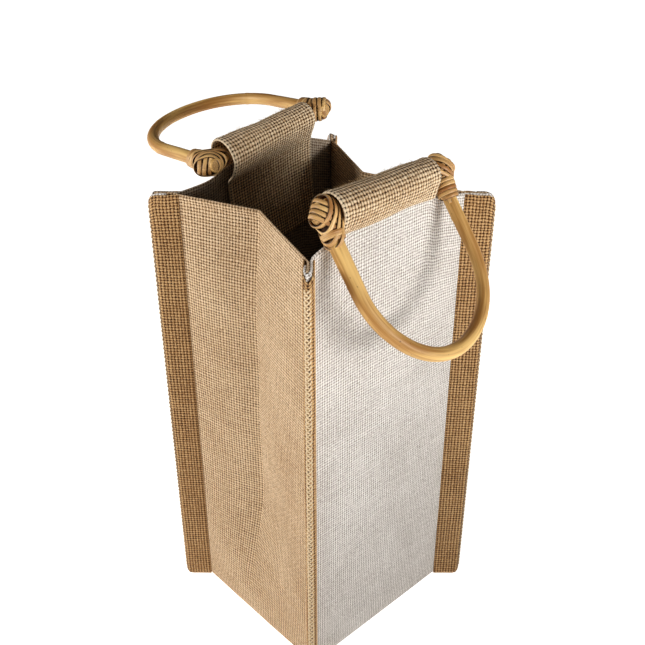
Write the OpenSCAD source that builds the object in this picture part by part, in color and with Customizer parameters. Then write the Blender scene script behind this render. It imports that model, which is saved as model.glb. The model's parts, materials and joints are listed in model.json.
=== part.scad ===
// Gift bag for one wine bottle, with two cane handles that turn in sewn sleeves.
// The front faces -Y. The origin is the middle of the base, on the surface it stands on.

/* [Bag] */
// Width of the front and back panels, from corner to corner
bag_w = 106; // [100:1:120]
// Depth from the front panel's face to the back panel's face
bag_d = 98.5; // [96:0.5:110]
// Height of the rim at the four corners
bag_h = 260; // [220:5:330]
// Thickness of the woven cloth
cloth = 1; // [0.8:0.1:1.2]
// Thickness of the stiffening board in the base
board_t = 2; // [1:0.5:3]

/* [Gussets] */
// How far a gusset folds inwards at its crease
fold_depth = 13.5; // [8:0.5:15]
// How far behind the middle of the bag the crease runs
fold_back = 6; // [0:1:8]
// Height at which the crease has opened to its full depth
fold_full = 90; // [60:5:120]

/* [Bound corner seams] */
// How far a bound seam stands out from its corner
fin_l = 13; // [10:0.5:16]
// Thickness of a bound seam
fin_t = 4.6; // [3.6:0.2:5.4]
// Radius of a bound seam's top outer corner
fin_r = 4; // [2:0.5:6]
// Width of the stitched edge along a bound seam
edge_w = 3; // [2:0.2:3.4]

/* [Handles] */
// Diameter of the bent cane and of the cross bar
cane_d = 6.4; // [5:0.2:7]
// Half the distance between the two arms of a handle, on centres
arm_x = 36.7; // [35.5:0.1:38]
// Length of the straight part of an arm below the bar
arm_l = 37.5; // [30:0.5:45]
// Depth of the curved end of a handle
bow_l = 41.5; // [39:0.5:46]
// How far an arm runs on past the middle of the bar
arm_top = 5.5; // [4.5:0.5:5.5]
// Distance of each bar from the middle of the bag, front to back
bar_y = 45.5; // [43.5:0.5:45.5]
// Height of the front bar above the rim's corners
front_rise = 16.5; // [16:0.5:18]
// Height of the middle of the back bar above the rim's corners
back_rise = 16.5; // [16:0.5:19]
// How far the two bars sit off the bag's middle, the front to the left and the back to the right
bar_shift = 3; // [0:0.5:3]
// Slope of the back bar, its right end up
back_slope = 8.5; // [0:0.5:9]
// Angle of the front handle outwards from hanging straight down
front_swing = 38; // [38:1:60]
// Angle of the back handle outwards from hanging straight down
back_swing = 84; // [60:1:110]

/* [Lashings] */
// Radius of the knot of cane strip where a bar meets an arm
knot_r = 6.7; // [6.5:0.1:6.7]
// Radius of the turns of strip around an arm
turns_r = 4.8; // [4.4:0.1:4.8]
// Length along an arm that the turns cover, from the middle of the bar
turns_l = 17; // [14:1:18]
// Length along the bar that the strip covers, from the middle of an arm
bar_wrap_l = 9; // [8:0.5:12]

/* [Sleeves] */
// Length of a sleeve along its bar
sleeve_l = 60; // [54:1:60]
// Radius of the tube that a bar turns in
sleeve_r = 7; // [7:0.05:7.3]
// Drop of a sleeve's front edge below the middle of its bar
sleeve_drop = 10.5; // [9:0.5:11]
// Drop of the flap inside the bag below the middle of its bar
flap_drop = 63; // [40:1:80]

/* [Hidden] */
$fn = 64;

front = -1;
back = 1;
left = -1;
right = 1;

// The bound seams' roots reach this far inside the corner, so that the cloth meets them squarely
fin_root = 1.5;
edge_t = 0.8;
edge_gap = 8;

// The rim climbs from the corners towards the sleeve, and between its two low points a tab runs
// on up behind the sleeve's front edge
tab_x = sleeve_l / 2 - 1;
rim_x = [42, tab_x + 2];
rim_front = [2.5, 3.5];
tab_drop = 7;

// Stitches along the sleeves' front edges
stitch_l = 3.2;
stitch_h = 0.7;
stitch_t = 0.5;
stitch_pitch = 4.6;
stitch_n = 12;
stitch_drop = 9;

// The bent cane's facets: sides round the cane, and steps along the half ellipse of its bow
cane_sides = 16;
bow_steps = 40;

// Distances outwards from a bar's middle to the two faces of its panel
face_out = bag_d / 2 - bar_y;
face_in = face_out - cloth;

// ---------------------------------------------------------------- places

module bar_frame(side) {
    slope = side == back ? back_slope : 0;
    rise = side == back ? back_rise : front_rise;
    translate([side * bar_shift, side * bar_y, bag_h + rise])
        rotate([0, -slope, 0])
            mirror([0, side == back ? 1 : 0, 0])
                children();
}

module handle_frame(side) {
    bar_frame(side)
        rotate([side == back ? -back_swing : -front_swing, 0, 0])
            children();
}

// Turned so that its own -X runs outwards along the diagonal of one corner
module corner_frame(x_side, y_side) {
    translate([x_side * bag_w / 2, y_side * bag_d / 2, 0])
        rotate([0, 0, atan2(-y_side, -x_side)])
            children();
}

// ---------------------------------------------------------------- bound corner seams

module fin_profile() {
    translate([-fin_l, 0])
        square([fin_l + fin_root, bag_h - fin_r]);
    translate([fin_r - fin_l, 0])
        square([fin_l - fin_r + fin_root, bag_h]);
    translate([fin_r - fin_l, bag_h - fin_r])
        circle(fin_r);
}

module fin() {
    rotate([90, 0, 0])
        linear_extrude(fin_t, center = true)
            fin_profile();
}

module binding(x_side, y_side) {
    color("tan")
        corner_frame(x_side, y_side)
            fin();
}

// Room for the four roots, cut from every cloth that ends at them
module fin_roots() {
    for (x_side = [left, right], y_side = [front, back])
        corner_frame(x_side, y_side)
            translate([-fin_l, -fin_t / 2, -1])
                cube([fin_l + fin_root, fin_t, bag_h + 2]);
}

module edge_stitching() {
    color("burlywood")
        for (x_side = [left, right], y_side = [front, back])
            corner_frame(x_side, y_side)
                translate([-fin_l - edge_t, -edge_w / 2, edge_gap])
                    cube([edge_t, edge_w, bag_h - 2 * edge_gap]);
}

// ---------------------------------------------------------------- panels, gussets and base

// rim_left and rim_right are the rim's heights beside the tab, from the corner inwards
module panel(side, rim_left, rim_right) {
    slope = side == back ? back_slope : 0;
    rise = side == back ? back_rise : front_rise;
    middle = side * bar_shift;
    tab_z = bag_h + rise - tab_drop / cos(slope);
    color("whitesmoke")
        difference() {
            translate([0, side * (bag_d - cloth) / 2, 0])
                rotate([90, 0, 0])
                    linear_extrude(cloth, center = true)
                        polygon([
                            [-bag_w / 2, 0],
                            [bag_w / 2, 0],
                            [bag_w / 2, bag_h],
                            [middle + rim_x[0], bag_h + rim_right[0]],
                            [middle + rim_x[1], bag_h + rim_right[1]],
                            [middle + tab_x, tab_z + tab_x * tan(slope)],
                            [middle - tab_x, tab_z - tab_x * tan(slope)],
                            [middle - rim_x[1], bag_h + rim_left[1]],
                            [middle - rim_x[0], bag_h + rim_left[0]],
                            [-bag_w / 2, bag_h]
                        ]);
            fin_roots();
        }
}

module front_panel() {
    panel(front, rim_front, rim_front);
}

// The back sleeve slopes, so its panel's rim is low on the left and high on the right
module back_panel() {
    panel(back, [0, 0], [3, 6]);
}

function smooth(t) = t * t * (3 - 2 * t);

function fold_at(z) = fold_depth * smooth(min(1, max(0, (z - cloth - board_t) / fold_full)));

// A zigzag sheet: one ring of six points at each height, outer face then inner face
module gusset(side) {
    heights = [0, cloth + board_t, 18, 33, 48, 63, 78, cloth + board_t + fold_full, bag_h];
    ends = bag_d / 2 - cloth;
    rings = [for (z = heights) [
        [-bag_w / 2, -ends, z],
        [fold_at(z) - bag_w / 2, fold_back, z],
        [-bag_w / 2, ends, z],
        [cloth - bag_w / 2, ends, z],
        [fold_at(z) + cloth - bag_w / 2, fold_back, z],
        [cloth - bag_w / 2, -ends, z]
    ]];
    last = len(heights) - 1;
    sides = [for (i = [0:last - 1], j = [0:5])
        let (a = 6 * i + j, b = 6 * i + (j + 1) % 6)
            each [[a, b, b + 6], [a, b + 6, a + 6]]];
    bottom = [[0, 5, 4], [0, 4, 1], [1, 4, 3], [1, 3, 2]];
    top = [for (face = bottom) [for (k = [2, 1, 0]) face[k] + 6 * last]];
    color("burlywood")
        difference() {
            mirror([side == right ? 1 : 0, 0, 0])
                polyhedron(points = [for (ring = rings) each ring], faces = concat(sides, bottom, top));
            fin_roots();
        }
}

module base_panel() {
    color("burlywood")
        difference() {
            translate([cloth - bag_w / 2, cloth - bag_d / 2, 0])
                cube([bag_w - 2 * cloth, bag_d - 2 * cloth, cloth]);
            fin_roots();
        }
}

module base_board() {
    gap = 2.5;
    color("sienna")
        translate([gap - bag_w / 2, gap - bag_d / 2, cloth])
            cube([bag_w - 2 * gap, bag_d - 2 * gap, board_t]);
}

// ---------------------------------------------------------------- sleeves

// A strip of cloth taken over the bar: a tube, a short front edge over the panel's face,
// and a long flap down its inner face. Outwards is -X here, and up is +Y.
module sleeve_profile() {
    tube_r = sleeve_r + cloth;
    pinch_drop = tab_drop + 7;
    difference() {
        union() {
            circle(tube_r);
            translate([-face_out - cloth, -sleeve_drop])
                square([cloth, sleeve_drop]);
            translate([-face_in, -flap_drop])
                square([cloth, flap_drop]);
            polygon([
                [-face_in, 0],
                [-face_in, -pinch_drop],
                [cloth - face_in, -pinch_drop],
                [tube_r * cos(40), -tube_r * sin(40)],
                [0, 0]
            ]);
        }
        circle(sleeve_r);
        translate([-face_out, -flap_drop])
            square([cloth, flap_drop - tab_drop]);
    }
}

module sleeve(side) {
    color("peru")
        bar_frame(side)
            rotate([90, 0, 90])
                linear_extrude(sleeve_l, center = true)
                    sleeve_profile();
}

module sleeve_stitching() {
    color("wheat")
        for (side = [front, back], i = [0:stitch_n - 1])
            bar_frame(side)
                translate([(i - (stitch_n - 1) / 2) * stitch_pitch - stitch_l / 2,
                        -face_out - cloth - stitch_t, -stitch_drop])
                    cube([stitch_l, stitch_t, stitch_h]);
}

// ---------------------------------------------------------------- handles

// Half an ellipse between two straight arms, in the XZ plane. Each stop is a point on the
// cane's middle line and the direction that faces outwards there.
function bow_stop(t) =
    let (away = [cos(t) / arm_x, -sin(t) / bow_l])
        [[arm_x * cos(t), -arm_l - bow_l * sin(t)], away / norm(away)];

function cane_ring(stop) = [for (i = [0:cane_sides - 1])
    let (turn = 360 * i / cane_sides, reach = cane_d / 2 * cos(turn))
        [stop[0].x + reach * stop[1].x, cane_d / 2 * sin(turn), stop[0].y + reach * stop[1].y]];

// A bent cane that hangs down from the bar, which runs along X at the origin
module hoop_shape() {
    stops = concat(
        [[[arm_x, arm_top], [1, 0]]],
        [for (i = [0:bow_steps]) bow_stop(180 * i / bow_steps)],
        [[[-arm_x, arm_top], [-1, 0]]]
    );
    last = len(stops) - 1;
    sides = [for (i = [0:last - 1], j = [0:cane_sides - 1])
        let (a = cane_sides * i + j, b = cane_sides * i + (j + 1) % cane_sides)
            each [[a, b, b + cane_sides], [a, b + cane_sides, a + cane_sides]]];
    first_end = [for (j = [cane_sides - 1:-1:0]) j];
    last_end = [for (j = [0:cane_sides - 1]) cane_sides * last + j];
    polyhedron(points = [for (stop = stops) each cane_ring(stop)],
        faces = concat(sides, [first_end, last_end]));
}

module arms_shape() {
    for (x_side = [left, right])
        translate([x_side * arm_x, 0, -arm_l])
            cylinder(d = cane_d, h = arm_l + arm_top);
}

module bar_shape() {
    rotate([0, 90, 0])
        cylinder(d = cane_d, h = 2 * arm_x, center = true);
}

module hoop(side) {
    color("goldenrod")
        handle_frame(side)
            hoop_shape();
}

// The bar's ends are hollowed to fit round the arms
module bar(side) {
    color("darkgoldenrod")
        handle_frame(side)
            difference() {
                bar_shape();
                arms_shape();
            }
}

// Cane strip bound round the joint, along the bar and down the arm
module lashing(side, x_side) {
    color("chocolate")
        handle_frame(side)
            difference() {
                translate([x_side * arm_x, 0, 0]) {
                    sphere(knot_r);
                    translate([0, 0, -turns_l])
                        cylinder(r = turns_r, h = turns_l);
                    rotate([0, -x_side * 90, 0])
                        cylinder(r = turns_r, h = bar_wrap_l);
                }
                arms_shape();
                bar_shape();
            }
}

front_panel();
back_panel();
gusset(left);  // left_gusset
gusset(right);  // right_gusset
base_panel();
base_board();
binding(left, front);  // front_left_binding
binding(right, front);  // front_right_binding
binding(left, back);  // back_left_binding
binding(right, back);  // back_right_binding
edge_stitching();
sleeve(front);  // front_sleeve
sleeve(back);  // back_sleeve
sleeve_stitching();
hoop(front);  // front_hoop
bar(front);  // front_bar
lashing(front, left);  // front_left_lashing
lashing(front, right);  // front_right_lashing
hoop(back);  // back_hoop
bar(back);  // back_bar
lashing(back, left);  // back_left_lashing
lashing(back, right);  // back_right_lashing
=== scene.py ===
import json
import math

import bpy
import numpy as np
from mathutils import Matrix, Vector


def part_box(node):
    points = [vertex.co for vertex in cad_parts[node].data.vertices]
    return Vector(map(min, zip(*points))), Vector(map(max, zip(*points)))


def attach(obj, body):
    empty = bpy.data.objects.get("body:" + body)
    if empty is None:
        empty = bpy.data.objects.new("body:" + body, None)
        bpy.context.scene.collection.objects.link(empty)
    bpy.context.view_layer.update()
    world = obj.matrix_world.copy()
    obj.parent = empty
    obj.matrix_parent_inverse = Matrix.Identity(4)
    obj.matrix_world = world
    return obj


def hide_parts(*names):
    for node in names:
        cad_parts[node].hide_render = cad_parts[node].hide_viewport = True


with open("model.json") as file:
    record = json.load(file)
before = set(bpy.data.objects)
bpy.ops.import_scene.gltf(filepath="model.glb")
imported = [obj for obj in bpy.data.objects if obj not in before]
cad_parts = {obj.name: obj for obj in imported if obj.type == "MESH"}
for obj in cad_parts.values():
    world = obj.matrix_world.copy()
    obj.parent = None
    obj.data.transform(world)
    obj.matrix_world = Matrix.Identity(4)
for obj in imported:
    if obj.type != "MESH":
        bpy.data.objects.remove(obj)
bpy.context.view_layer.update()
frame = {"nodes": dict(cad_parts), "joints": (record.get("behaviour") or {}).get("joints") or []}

MM = 0.001
ROOT_HALF = math.sqrt(0.5)

# ---- sizes, from the frame

half_w = -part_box("left_gusset")[0][0]
half_d = -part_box("front_panel")[0][1]
rim_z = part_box("left_gusset")[1][2]
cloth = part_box("base_panel")[1][2]
fin_t = 4.6 * MM  # the CAD's bound seam
fin_l = (-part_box("front_left_binding")[0][0] - half_w) / ROOT_HALF - fin_t / 2
fin_r = 4 * MM  # of its top corner
seam_t = 5.4 * MM  # of the visual tape and what it holds
fold_depth = 13.5 * MM  # of a gusset's crease
fold_rim = 4.5 * MM  # how much deeper it is at the rim
fold_back = 6 * MM  # how far behind the middle it runs
arm_x = 36.7 * MM  # from the handle's middle to each arm
arm_l = 37.5 * MM  # from the bar down to the bow
bow_l = 41.5 * MM
arm_top = 5.5 * MM  # how far the arms stand past the bar
cane_r = 3.2 * MM

# From one yarn to the next
JUTE_PITCH = 1.62 * MM
WHITE_PITCH = 1.5 * MM
SLEEVE_PITCH = 1.72 * MM


def hinge(side):
    joint = next(j for j in frame["joints"] if j["name"] == f"{side}_handle_hinge")
    at, along = np.array(joint["pos_m"], float), np.array(joint["axis"], float)
    return at, along * np.sign(along[0])


# ---- small tools


def unit(a):
    return a / np.maximum(np.linalg.norm(a, axis=-1, keepdims=True), 1e-12)


def smooth(t):
    t = np.clip(t, 0, 1)
    return t * t * (3 - 2 * t)


def rounded(points, rounds=3):
    """A polyline with its corners cut off, time after time."""
    points = np.asarray(points, float)
    for _ in range(rounds):
        a, b = points[:-1], points[1:]
        cut = np.stack([a * 0.75 + b * 0.25, a * 0.25 + b * 0.75], 1).reshape(-1, points.shape[1])
        points = np.concatenate([points[:1], cut[1:-1], points[-1:]])
    return points


def steps_of(points):
    return np.linalg.norm(np.diff(points, axis=0), axis=1)


def run_of(points):
    """How far along a line each of its points is."""
    return np.concatenate([[0], np.cumsum(steps_of(points))])


def mirrored(half):
    """A symmetrical line, from its middle point and what follows."""
    return [[-x, y] for x, y in half[:0:-1]] + half


def resample(points, count):
    """The same polyline as count points at equal steps."""
    run = run_of(points)
    at = np.linspace(0, run[-1], count)
    return np.stack([np.interp(at, run, points[:, k]) for k in range(points.shape[1])], 1)


def waves(rows, columns, row_wave, column_wave, seed):
    """A smooth random field from -1 to 1, with one bump for each row_wave by column_wave cells."""
    rng = np.random.default_rng(seed)
    field = rng.uniform(-1, 1, (int(rows / row_wave) + 3, int(columns / column_wave) + 3))

    def stretch(values, count, wave):
        at = np.arange(count) / wave
        low = at.astype(int)
        mix = smooth(at - low)[:, None]
        return values[low] * (1 - mix) + values[low + 1] * mix

    field = stretch(field, rows, row_wave)
    return stretch(field.T, columns, column_wave).T


# The record's material slots, by a CAD node's name or its last word.
SLOTS = {"base_panel": "jute", "panel": "cotton_jute", "gusset": "jute", "binding": "jute_binding",
         "stitching": "thread", "sleeve": "jute_sleeve", "hoop": "cane", "bar": "cane",
         "lashing": "cane_strip"}


def new_object(name, data):
    made = bpy.data.objects.new(name, data)
    bpy.context.collection.objects.link(made)
    return made


def add_object(name, mesh, body, *nodes):
    piece = new_object(name, mesh)
    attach(piece, body)
    if nodes:
        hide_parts(*nodes)
        SLOTS.get(nodes[0]) or SLOTS[nodes[0].split("_")[-1]]
    return piece


def make_mesh(name, points, quads, materials, uv_maps=(), slots=None):
    """A smooth mesh. uv_maps holds pairs of a name and one (u, v) for each point."""
    mesh = bpy.data.meshes.new(name)
    points = np.asarray(points, np.float32)
    quads = np.asarray(quads, np.int32)
    mesh.vertices.add(len(points))
    mesh.vertices.foreach_set("co", points.ravel())
    mesh.loops.add(quads.size)
    mesh.loops.foreach_set("vertex_index", quads.ravel())
    mesh.polygons.add(len(quads))
    mesh.polygons.foreach_set("loop_start", np.arange(0, quads.size, 4, dtype=np.int32))
    mesh.polygons.foreach_set("loop_total", np.full(len(quads), 4, np.int32))
    mesh.update(calc_edges=True)
    for uv_name, uv in uv_maps:
        layer = mesh.uv_layers.new(name=uv_name)
        layer.data.foreach_set("uv", np.asarray(uv, np.float32)[quads.ravel()].ravel())
    for material in materials:
        mesh.materials.append(material)
    if slots is not None:
        mesh.polygons.foreach_set("material_index", np.asarray(slots, np.int32))
    mesh.polygons.foreach_set("use_smooth", np.ones(len(quads), bool))
    mesh.validate()
    mesh.update()
    return mesh


# ---- materials


class Graph:
    """A material's nodes, written as formulas."""

    def __init__(self, name):
        self.material = bpy.data.materials.new(name)
        self.material.use_nodes = True
        self.nodes = self.material.node_tree.nodes
        self.links = self.material.node_tree.links
        self.nodes.clear()
        self.shader = self.nodes.new("ShaderNodeBsdfPrincipled")
        out = self.nodes.new("ShaderNodeOutputMaterial")
        self.links.new(self.shader.outputs["BSDF"], out.inputs["Surface"])

    def feed(self, value, socket):
        if isinstance(value, Value):
            self.links.new(value.socket, socket)
        else:
            socket.default_value = (*value, 1) if isinstance(value, tuple) else value

    def math(self, operation, *values):
        node = self.nodes.new("ShaderNodeMath")
        node.operation = operation
        for value, socket in zip(values, node.inputs):
            self.feed(value, socket)
        return Value(self, node.outputs[0])

    def split(self, socket):
        parts = self.nodes.new("ShaderNodeSeparateXYZ")
        self.links.new(socket, parts.inputs[0])
        return [Value(self, part) for part in parts.outputs]

    def uv(self, name):
        node = self.nodes.new("ShaderNodeUVMap")
        node.uv_map = name
        return self.split(node.outputs[0])[:2]

    def place(self):
        return self.split(self.nodes.new("ShaderNodeTexCoord").outputs["Object"])

    def vector(self, x, y, z=0.0):
        node = self.nodes.new("ShaderNodeCombineXYZ")
        for value, socket in zip((x, y, z), node.inputs):
            self.feed(value, socket)
        return Value(self, node.outputs[0])

    def noise(self, vector, scale=1.0, detail=2.0, rough=0.5):
        node = self.nodes.new("ShaderNodeTexNoise")
        self.links.new(vector.socket, node.inputs["Vector"])
        for key, value in (("Scale", scale), ("Detail", detail), ("Roughness", rough)):
            node.inputs[key].default_value = value
        return Value(self, node.outputs["Fac"])

    def spread(self, value, low, high, to_low=0.0, to_high=1.0):
        node = self.nodes.new("ShaderNodeMapRange")
        node.interpolation_type = "SMOOTHSTEP"
        for x, socket in zip((value, low, high, to_low, to_high), list(node.inputs)[:5]):
            self.feed(x, socket)
        return Value(self, node.outputs[0])

    def mix(self, share, a, b):
        node = self.nodes.new("ShaderNodeMix")
        node.data_type = "RGBA"
        for value, socket in ((share, 0), (a, 6), (b, 7)):
            self.feed(value, node.inputs[socket])
        return Value(self, node.outputs[2])

    def finish(self, color, height=None, strength=0.6, depth=0.3 * MM, **sockets):
        self.links.new(color.socket, self.shader.inputs["Base Color"])
        for name, value in sockets.items():
            self.feed(value, self.shader.inputs[name.replace("_", " ")])
        if height is not None:
            bump = self.nodes.new("ShaderNodeBump")
            bump.inputs["Strength"].default_value = strength
            bump.inputs["Distance"].default_value = depth
            self.links.new(height.socket, bump.inputs["Height"])
            self.links.new(bump.outputs[0], self.shader.inputs["Normal"])
        return self.material


def operation(name, swapped=False):
    """A method that adds one Math node."""
    def method(self, *others):
        values = (self, *others)
        return self.graph.math(name, *(values[::-1] if swapped else values))
    return method


class Value:
    """A node's output, to calculate with."""

    def __init__(self, graph, socket):
        self.graph, self.socket = graph, socket

    __add__ = __radd__ = operation("ADD")
    __sub__ = operation("SUBTRACT")
    __rsub__ = operation("SUBTRACT", swapped=True)
    __mul__ = __rmul__ = operation("MULTIPLY")
    __truediv__ = operation("DIVIDE")
    floor = operation("FLOOR")
    abs = operation("ABSOLUTE")
    max = operation("MAXIMUM")
    sqrt = operation("SQRT")
    cos = operation("COSINE")
    sin = operation("SINE")
    above = operation("GREATER_THAN")

    def parity(self):
        """1 at even numbers and -1 at odd ones."""
        return 1.0 - 2.0 * self.graph.math("FLOORED_MODULO", self, 2.0)


def srgb(r, g, b):
    return tuple(((c / 255 + 0.055) / 1.055) ** 2.4 for c in (r, g, b))


def woven(name, yarn, shade, hole_shade, width=0.43, slub=0.08, edge=None, fuzz=0.5, gap=1.0):
    """Plain weave. The UV map counts yarns, so a yarn's number is its whole part.
    yarn and shade are the yarns' light and dark colours, and width is half a yarn's width.
    The third colour is painted shade in the gaps between the yarns, and gap is how far the gaps go
    towards it."""
    g = Graph(name)
    u, v = g.uv("weave")
    wobble = g.noise(g.vector(u, v), 0.9, 1.0)
    u2 = u + 0.22 * (wobble - 0.5)
    v2 = v + 0.22 * (g.noise(g.vector(v, u, 7.0), 0.9, 1.0) - 0.5)
    iu, iv = u2.floor(), v2.floor()
    fu, fv = (u2 - iu - 0.5).abs(), (v2 - iv - 0.5).abs()
    thick_u = g.noise(g.vector(iu * 5.37, v * 0.22), 1.0, 1.0)
    thick_v = g.noise(g.vector(u * 0.22, iv * 5.37, 3.0), 1.0, 1.0)
    wu = width + slub * 2.0 * (thick_u - 0.5)
    wv = width + slub * 2.0 * (thick_v - 0.5)
    ru, rv = fu / wu, fv / wv
    pu = (1.0 - ru * ru).max(0.0).sqrt()
    pv = (1.0 - rv * rv).max(0.0).sqrt()
    over_u = iu.parity() * ((v2 - 0.5) * math.pi).cos()
    over_v = iv.parity() * ((u2 - 0.5) * math.pi).cos()
    warp = pu + 0.48 * over_u
    weft = pv - 0.48 * over_v
    top = warp.max(weft)
    is_warp = warp.above(weft)
    fibre_u = g.noise(g.vector(u * 11.0, v * 1.3, 1.0), 1.0, 3.0, 0.65)
    fibre_v = g.noise(g.vector(u * 1.3, v * 11.0, 5.0), 1.0, 3.0, 0.65)
    fibre = fibre_v + is_warp * (fibre_u - fibre_v)
    tone_u = g.noise(g.vector(iu * 3.71, v * 0.06, 9.0), 1.0, 1.0)
    tone_v = g.noise(g.vector(u * 0.06, iv * 3.71, 4.0), 1.0, 1.0)
    tone = tone_v + is_warp * (tone_u - tone_v)
    blotch = g.noise(g.vector(u, v, 2.0), 0.045, 2.0)
    cell = g.noise(g.vector(u, v, 6.0), 1.35, 1.0)
    # Painted shade and highlight: the term from top makes the yarns darker where they dip under a
    # crossing yarn and lighter on top of each crossing. The other terms are the yarns' own tone.
    light = (fuzz * (fibre - 0.5) * 2.4 + 0.8 * (tone - 0.5) + 0.6 * (blotch - 0.5)
             + 1.1 * (cell - 0.5) + g.spread(top, 0.75, 1.45, -0.45, 0.3) + 0.5)
    color = g.mix(g.spread(light, 0.0, 1.0), shade, yarn)
    if edge is not None:
        across, _ = g.uv("edge")
        color = g.mix(g.spread(across, 0.9 * MM, 2.2 * MM, 0.75, 0.0), color, edge)
    # Painted shade in the gaps between the yarns, where the weave's height is lowest
    loose = g.noise(g.vector(u, v, 8.0), 0.8, 2.0)
    deep = g.spread(top + 0.9 * (loose - 0.5), 0.22, 1.08, gap, 0.0)
    color = g.mix(deep, color, hole_shade)
    height = top + 0.22 * (fibre - 0.5)
    return g.finish(color, height, 0.75, 0.42 * MM, Roughness=0.92, Sheen_Weight=0.12,
                    Sheen_Roughness=0.6, Specular_IOR_Level=0.15)


def cane_material(name, light, dark, roughness=0.36):
    """Bent cane. The UV map is metres around and metres along."""
    g = Graph(name)
    around, along = g.uv("grain")
    streak = g.noise(g.vector(around * 900.0, along * 28.0), 1.0, 4.0, 0.6)
    broad = g.noise(g.vector(around * 160.0, along * 22.0, 3.0), 1.0, 2.0)
    speck = g.noise(g.vector(around * 700.0, along * 420.0, 5.0), 1.0, 1.0)
    tone = 0.5 + 1.1 * (streak - 0.5) + 1.7 * (broad - 0.5)
    color = g.mix(g.spread(tone, 0.1, 0.9), dark, light)
    color = g.mix(g.spread(speck, 0.70, 0.80, 0.0, 0.6), color, srgb(96, 62, 30))
    return g.finish(color, streak + 0.5 * broad, 0.35, 0.12 * MM, Roughness=roughness,
                    Coat_Weight=0.12, Coat_Roughness=0.35, Specular_IOR_Level=0.35)


def strip_material(name):
    """Split cane. The UV map is 0 to 1 across a strip, and metres along it."""
    g = Graph(name)
    across, along = g.uv("grain")
    edge = (across - 0.5).abs() * 2.0
    piece = along.floor()
    tone = g.noise(g.vector(piece * 3.3, along * 55.0), 1.0, 2.0)
    streak = g.noise(g.vector(across * 7.0, along * 60.0, 2.0), 1.0, 4.0, 0.6)
    light = 0.5 + 1.5 * (tone - 0.5) + 1.0 * (streak - 0.5)
    color = g.mix(g.spread(light, 0.05, 0.95), srgb(158, 104, 52), srgb(240, 202, 140))
    # Painted shade along each strip's edges, where it meets its neighbours
    color = g.mix(g.spread(edge, 0.66, 1.0, 0.0, 0.92), color, srgb(48, 24, 10))
    return g.finish(color, streak, 0.3, 0.1 * MM, Roughness=0.48, Coat_Weight=0.1,
                    Coat_Roughness=0.3)


def thread_material(name):
    """Twisted jute thread. The UV map is 0 to 1 across it, and metres along it."""
    g = Graph(name)
    across, along = g.uv("grain")
    edge = (across - 0.5).abs() * 2.0
    twist = (along * 5200.0 + across * 5.0).sin()
    tone = g.noise(g.vector(across * 3.0, along * 900.0), 1.0, 3.0, 0.6)
    color = g.mix(g.spread(tone + 0.12 * twist, 0.3, 0.7), srgb(204, 174, 134), srgb(246, 226, 194))
    # Painted shade along the thread's edges, where the strands dip towards the cloth
    color = g.mix(g.spread(edge, 0.55, 1.0, 0.0, 0.85), color, srgb(84, 56, 30))
    return g.finish(color, tone + 0.3 * twist, 0.4, 0.15 * MM, Roughness=0.9)


def grained(name, light, dark, scale, roughness=0.8, strength=0.3):
    g = Graph(name)
    spot = g.noise(g.vector(*g.place()), scale, 5.0, 0.6)
    color = g.mix(g.spread(spot, 0.3, 0.7), dark, light)
    return g.finish(color, spot, strength, 0.2 * MM, Roughness=roughness)


# The third colour of each woven cloth is painted shade in the gaps between its yarns
juco = woven("white_weave", srgb(241, 236, 230), srgb(196, 188, 180), srgb(96, 80, 68),
             width=0.43, slub=0.06, fuzz=0.45, gap=0.85)
# A darker copy of the white cloth for the panels' inside faces: painted shade for the dim inside of
# the bag
juco_inside_painted_shade = woven("white_weave_inside_painted_shade", srgb(190, 176, 158), srgb(142, 124, 104),
                    srgb(74, 54, 36), width=0.43, slub=0.06)
jute = woven("jute_weave", srgb(232, 206, 172), srgb(180, 147, 110), srgb(62, 36, 16),
             width=0.41, slub=0.07)
jute_bound = woven("jute_binding", srgb(212, 176, 128), srgb(150, 110, 68), srgb(50, 27, 10),
                   width=0.39, slub=0.09)
jute_tube = woven("jute_sleeve", srgb(240, 218, 186), srgb(176, 144, 106), srgb(56, 34, 16),
                  width=0.385, slub=0.11, edge=srgb(226, 206, 176))
cane = cane_material("cane_bent", srgb(236, 197, 128), srgb(172, 124, 66), 0.5)
cane_end = grained("cane_end_grain", srgb(222, 184, 126), srgb(140, 98, 52), 2600.0)
strips = strip_material("cane_strip")
# Dark material for the lashings' bodies under the strips: painted shadow between the turns
strip_painted_shadow = grained("cane_strip_shadow", srgb(92, 56, 26), srgb(46, 26, 12), 900.0)
thread = thread_material("seam_thread")
fibres = grained("jute_fibre", srgb(214, 186, 144), srgb(150, 116, 74), 300.0, 0.9)
board = grained("grey_board", srgb(150, 128, 100), srgb(116, 94, 68), 700.0, 0.95)

# ---- cloth

RELIEF = 0.16 * MM


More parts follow.
